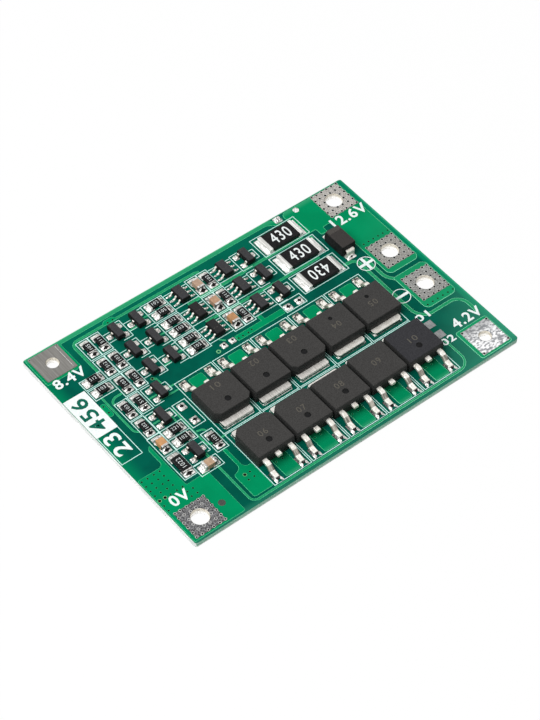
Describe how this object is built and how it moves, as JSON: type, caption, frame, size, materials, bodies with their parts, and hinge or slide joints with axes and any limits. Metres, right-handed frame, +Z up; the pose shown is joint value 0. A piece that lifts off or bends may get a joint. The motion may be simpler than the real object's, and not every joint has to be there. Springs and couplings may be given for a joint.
{
  "type": "battery management board",
  "caption": "Flat green circuit board that protects and balances a small lithium cell pack, with rows of power transistors, small chip parts and square wire terminals.",
  "frame": {"origin": "centre of the board's underside, on the surface it lies on", "axes": "+X along the long edge towards the output terminals, +Y along the short edge towards the small parts, +Z up out of the side with the parts"},
  "size_m": [0.06, 0.0406, 0.0034],
  "materials": {
    "solder_mask": "glossy green mask over copper",
    "tinned_copper": "bright tin plate",
    "moulded_plastic": "matte moulded epoxy",
    "resistor_glaze": "black glaze with tinned ends",
    "capacitor_ceramic": "tan ceramic with tinned ends",
    "solder": "bright solder",
    "white_print": "white printed ink"
  },
  "bodies": {
    "root": {"circuit_board": "solder_mask", "terminal_cell_zero": "tinned_copper", "terminal_cell_one": "tinned_copper", "terminal_cell_two": "tinned_copper", "terminal_cell_three": "tinned_copper", "terminal_output_plus": "tinned_copper", "terminal_output_minus": "tinned_copper", "mosfet_body_1": "moulded_plastic", "mosfet_body_2": "moulded_plastic", "mosfet_body_3": "moulded_plastic", "mosfet_body_4": "moulded_plastic", "mosfet_body_5": "moulded_plastic", "mosfet_body_6": "moulded_plastic", "mosfet_body_7": "moulded_plastic", "mosfet_body_8": "moulded_plastic", "mosfet_body_9": "moulded_plastic", "mosfet_body_10": "moulded_plastic", "mosfet_frame_1": "tinned_copper", "mosfet_frame_2": "tinned_copper", "mosfet_frame_3": "tinned_copper", "mosfet_frame_4": "tinned_copper", "mosfet_frame_5": "tinned_copper", "mosfet_frame_6": "tinned_copper", "mosfet_frame_7": "tinned_copper", "mosfet_frame_8": "tinned_copper", "mosfet_frame_9": "tinned_copper", "mosfet_frame_10": "tinned_copper", "balance_resistor_1": "resistor_glaze", "balance_resistor_2": "resistor_glaze", "balance_resistor_3": "resistor_glaze", "diode_body": "moulded_plastic", "diode_leads": "tinned_copper", "capacitor_1": "capacitor_ceramic", "capacitor_2": "capacitor_ceramic", "capacitor_3": "capacitor_ceramic", "capacitor_4": "capacitor_ceramic", "capacitor_5": "capacitor_ceramic", "cell_chip_1": "moulded_plastic", "cell_chip_2": "moulded_plastic", "cell_chip_3": "moulded_plastic", "cell_chip_4": "moulded_plastic", "cell_chip_5": "moulded_plastic", "cell_chip_6": "moulded_plastic", "cell_chip_leads": "tinned_copper", "transistor_1": "moulded_plastic", "transistor_2": "moulded_plastic", "transistor_3": "moulded_plastic", "transistor_4": "moulded_plastic", "transistor_5": "moulded_plastic", "transistor_6": "moulded_plastic", "transistor_7": "moulded_plastic", "transistor_8": "moulded_plastic", "transistor_9": "moulded_plastic", "transistor_10": "moulded_plastic", "transistor_11": "moulded_plastic", "transistor_12": "moulded_plastic", "transistor_leads": "tinned_copper", "channel_resistors": "resistor_glaze", "control_resistors": "resistor_glaze", "solder_lands": "solder"}
  },
  "joints": []
}
